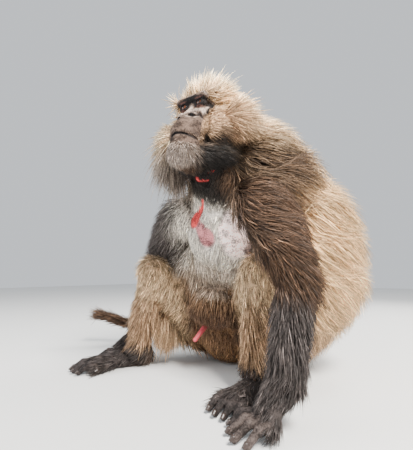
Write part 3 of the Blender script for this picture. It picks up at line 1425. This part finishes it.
# %% Eyes
IRIS_ANGLE = math.radians(38)
PUPIL_ANGLE = math.radians(15)
EYE_FIT = 0.0002
CORNEA_BULGE = 0.0007
GAZE = (FORWARD + UP * 0.10).normalized()
PUPIL = tint(4, 3, 3)
EYE_COLOURS = (
    (0.00, PUPIL),
    (PUPIL_ANGLE * 0.93, PUPIL),
    (PUPIL_ANGLE * 1.1, tint(56, 30, 18)),
    (IRIS_ANGLE * 0.72, tint(90, 50, 30)),
    (IRIS_ANGLE * 0.93, tint(46, 26, 17)),
    (IRIS_ANGLE * 1.02, tint(20, 12, 10)),
    (1.0, tint(34, 23, 20)),
)


def eye_material():
    """Rings of colour by the angle from the eye's own axis, under a clear cornea."""
    material, add, shader, links = new_material(
        "eye", Roughness=0.12, Specular_IOR_Level=0.25, Coat_Weight=0.15, Coat_Roughness=0.02)
    ramp = add("ShaderNodeValToRGB", {"Fac": stored(add, "turn", "Fac")})
    stops = ramp.color_ramp.elements
    while len(stops) < len(EYE_COLOURS):
        stops.new(1.0)
    for stop, (angle, colour) in zip(stops, EYE_COLOURS):
        stop.position = angle
        stop.color = (*colour, 1)
    links.new(ramp.outputs["Color"], shader.inputs["Base Color"])
    return material


def build_eye(name, side, material):
    """An eyeball whose cornea bulges a little past the iris."""
    mesh = bmesh.new()
    bmesh.ops.create_uvsphere(mesh, u_segments=48, v_segments=48, radius=EYE_RADIUS - EYE_FIT)
    turns = []
    for vertex in mesh.verts:
        turn = vertex.co.angle(Vector((0, 0, 1)))
        bulge = CORNEA_BULGE * max(0, 1 - (turn / (IRIS_ANGLE * 1.2)) ** 2)
        vertex.co *= 1 + bulge / EYE_RADIUS
        turns.append(turn)
    aim = GAZE.to_track_quat("Z", "Y").to_matrix().to_4x4()
    bmesh.ops.transform(mesh, matrix=Matrix.Translation(eye_centre(side)) @ aim, verts=mesh.verts)
    eye = object_of(mesh, f"eyeball_{name}")
    store_share(eye.data, "turn", np.array(turns))
    eye.data.shade_smooth()
    eye.data.materials.append(material)
    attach(eye, "root")
    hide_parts(f"eye_{name}")


EYE = eye_material()
build_eye("left", 1, EYE)
build_eye("right", -1, EYE)
print("eyes", round(EYE_SPACING * 1000), "mm apart")

# %% [markdown]
# ## Nails
# Each digit ends in a dark nail, curved across the digit. All twenty have one shape, so one
# plate is modelled, and a node tree sets a copy on every tip, turned along its digit and sized
# to it. One change of the plate then changes all of them.

# %% One nail plate
NAIL_ROWS = 6
NAIL_COLUMNS = 7
NAIL_TURN = 62
NAIL_HALF = 0.62


def nail_plate():
    """A plate for a digit of radius 1 that points along x, from behind its tip to past it."""
    mesh = bmesh.new()
    rows = []
    for i in range(NAIL_ROWS):
        along = -0.35 + 1.25 * i / (NAIL_ROWS - 1)
        past = max(0, along)
        half = NAIL_HALF * (1 - 0.30 * past ** 2)
        reach = 1.0 if along < 0.6 else 1.04
        row = []
        for j in range(NAIL_COLUMNS):
            turn = math.radians(-NAIL_TURN + 2 * NAIL_TURN * j / (NAIL_COLUMNS - 1))
            spot = (along, -math.sin(turn) * half * reach, math.cos(turn) * reach * (1 - 0.28 * past))
            row.append(mesh.verts.new(spot))
        rows.append(row)
    for first, second in zip(rows, rows[1:]):
        for i in range(NAIL_COLUMNS - 1):
            mesh.faces.new((first[i], first[i + 1], second[i + 1], second[i]))
    return object_of(mesh, "nail_plate")


def tips_mesh():
    """A point on each digit's tip, with the digit's direction, its upper side and its radius."""
    mesh = bpy.data.meshes.new("nails")
    mesh.vertices.add(len(NAILS))
    tips, aheads, radii = zip(*NAILS)
    across = [ahead.cross(Vector((0, 0, 1))).normalized() for ahead in aheads]
    rises = [side.cross(ahead).normalized() for side, ahead in zip(across, aheads)]
    move_vertices(mesh, np.array(tips))
    for name, vectors in (("ahead", aheads), ("rise", rises)):
        layer = mesh.attributes.new(name, "FLOAT_VECTOR", "POINT")
        layer.data.foreach_set("vector", np.array(vectors, np.float32).ravel())
    store_share(mesh, "radius", np.array(radii))
    return mesh


# %% A node tree that sets plates on tips
def plates_on_tips():
    """A copy of the plate on each point, made one mesh and given its finish."""
    tree = bpy.data.node_groups.new("plates on tips", "GeometryNodeTree")
    inputs = {"Tips": "Geometry", "Plate": "Object", "Size": "Float", "Finish": "Material"}
    for name, kind in inputs.items():
        tree.interface.new_socket(name, in_out="INPUT", socket_type=f"NodeSocket{kind}")
    tree.interface.new_socket("Nails", in_out="OUTPUT", socket_type="NodeSocketGeometry")
    add = node_maker(tree)
    given = add("NodeGroupInput").outputs

    def on_tip(name, kind):
        return add("GeometryNodeInputNamedAttribute", {"Name": name}, data_type=kind).outputs["Attribute"]

    axes = {"Primary Axis": on_tip("ahead", "FLOAT_VECTOR"), "Secondary Axis": on_tip("rise", "FLOAT_VECTOR")}
    turn = add("FunctionNodeAxesToRotation", axes, primary_axis="X", secondary_axis="Z").outputs[0]
    factors = {0: on_tip("radius", "FLOAT"), 1: given["Size"]}
    size = add("ShaderNodeMath", factors, operation="MULTIPLY").outputs[0]
    plate = add("GeometryNodeObjectInfo", {"Object": given["Plate"]}).outputs["Geometry"]
    setting = {"Points": given["Tips"], "Instance": plate, "Rotation": turn, "Scale": size}
    copies = add("GeometryNodeInstanceOnPoints", setting).outputs[0]
    whole = add("GeometryNodeRealizeInstances", {"Geometry": copies}).outputs[0]
    finished = add("GeometryNodeSetMaterial", {"Geometry": whole, "Material": given["Finish"]}).outputs[0]
    add("NodeGroupOutput", {"Nails": finished})
    return tree


def set_inputs(modifier, values):
    """Sets the named inputs of a modifier's tree by their sockets' identifiers."""
    for socket in modifier.node_group.interface.items_tree:
        if socket.name in values:
            modifier[socket.identifier] = values[socket.name]


# %% Nails
NAIL_DARK = tint(52, 42, 38)
NAIL_THICKNESS = 0.0007


def plain_material(name, colour, roughness):
    material, add, shader, links = new_material(name, Roughness=roughness)
    grain = noise(add, 300.0, 3.0)
    colour_with_grain(add, shader, links, colour, grain, (0, 1), (0.75, 1.25))
    add_bump(add, shader, links, grain, 0.3, 0.0005)
    return material


finish = plain_material("nail", NAIL_DARK, 0.35)
plate = nail_plate()
plate.data.materials.append(finish)  # without it, the copies would bring an empty slot
nails = linked("nails", tips_mesh())
plates = nails.modifiers.new("plates", "NODES")
plates.node_group = plates_on_tips()
set_inputs(plates, {"Plate": plate, "Size": 1.0, "Finish": finish})
shell = nails.modifiers.new("thickness", "SOLIDIFY")
shell.thickness = NAIL_THICKNESS
shell.offset = 0
apply_modifiers(nails)
bpy.data.objects.remove(plate)
nails.data.shade_smooth()
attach(nails, "root")
print("nails", len(NAILS), "with", len(nails.data.polygons), "faces")

# %% [markdown]
# ## The organ
# The organ is a small soft taper of bare pink skin, left plain. Two rounded forms fused on a
# fine grid are enough for it.

# %% Organ
ORGAN_PINK = tint(204, 78, 88)
ORGAN_ROOT = place(-0.035, -0.098, 0.128)
ORGAN_TIP = place(-0.045, -0.148, 0.088)
mesh = bmesh.new()
add_limb(mesh, ORGAN_ROOT, ORGAN_TIP, 0.0078, 0.0052)
add_ball(mesh, ORGAN_TIP, (0.0060, 0.0064, 0.0060))
organ = object_of(mesh, "organ_skin")
fuse(organ, 0.0012, 4)
organ.data.shade_smooth()
organ.data.materials.append(plain_material("pink_skin", ORGAN_PINK, 0.5))
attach(organ, "root")
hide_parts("organ")
print("organ", len(organ.data.polygons), "faces")

# %% [markdown]
# ## Floor, light and camera
# A pale floor and large soft lights keep the shadows gentle.
# The camera stands low and close, as in the photograph, with a wide lens looking a little up.

# %% Floor
mesh = bmesh.new()
bmesh.ops.create_grid(mesh, x_segments=1, y_segments=1, size=6)
floor = object_of(mesh, "floor")
FLOOR_GREY = (0.72, 0.72, 0.71, 1)
floor.data.materials.append(new_material("floor", Base_Color=FLOOR_GREY, Roughness=0.9)[0])
floor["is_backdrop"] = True
print("floor", [round(side, 1) for side in floor.dimensions])

# %% Lights
world = bpy.data.worlds.new("studio")
bpy.context.scene.world = world
world.use_nodes = True
sky = world.node_tree.nodes["Background"]
sky.inputs["Color"].default_value = (0.86, 0.90, 0.95, 1)
sky.inputs["Strength"].default_value = 0.90


def aimed(name, data, spot, direction):
    """A light or camera that looks along a direction."""
    obj = linked(name, data)
    obj.location = spot
    obj.rotation_mode = "QUATERNION"
    obj.rotation_quaternion = direction.to_track_quat("-Z", "Y")
    return obj


MIDDLE = place(0, -0.1, 0.35)
for name, spot, size, power, colour in (
    ("key", place(1.6, -1.0, 2.2), 0.8, 270, (1.0, 0.96, 0.90)),
    ("fill", place(-1.6, -1.8, 1.2), 1.6, 50, (0.92, 0.96, 1.0)),
    ("back", place(0.6, 1.8, 1.6), 1.2, 55, (1.0, 0.97, 0.92)),
):
    light = bpy.data.lights.new(name, "AREA")
    light.size = size
    light.energy = power
    light.color = colour
    aimed(name, light, spot, MIDDLE - spot)
    print(name, "light,", power, "W")


# %% Camera
LENS = 24.0
SENSOR = 36.0
CAMERA_SPOT = place(0.4147, -0.8038, 0.25)
CAMERA_AIM = Vector((-0.5372, 0.8273, 0.1644))
camera = bpy.data.cameras.new("camera")
camera.lens = LENS
camera.sensor_width = SENSOR
camera.clip_start = 0.01
bpy.context.scene.camera = aimed("camera", camera, CAMERA_SPOT, CAMERA_AIM)
print("camera at", [round(v, 3) for v in CAMERA_SPOT])

# %% Compare the sizes and finish
new_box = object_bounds()
for name, box in (("solids", cad_box), ("model", new_box)):
    print(name, [[round(v, 3) for v in corner] for corner in box])
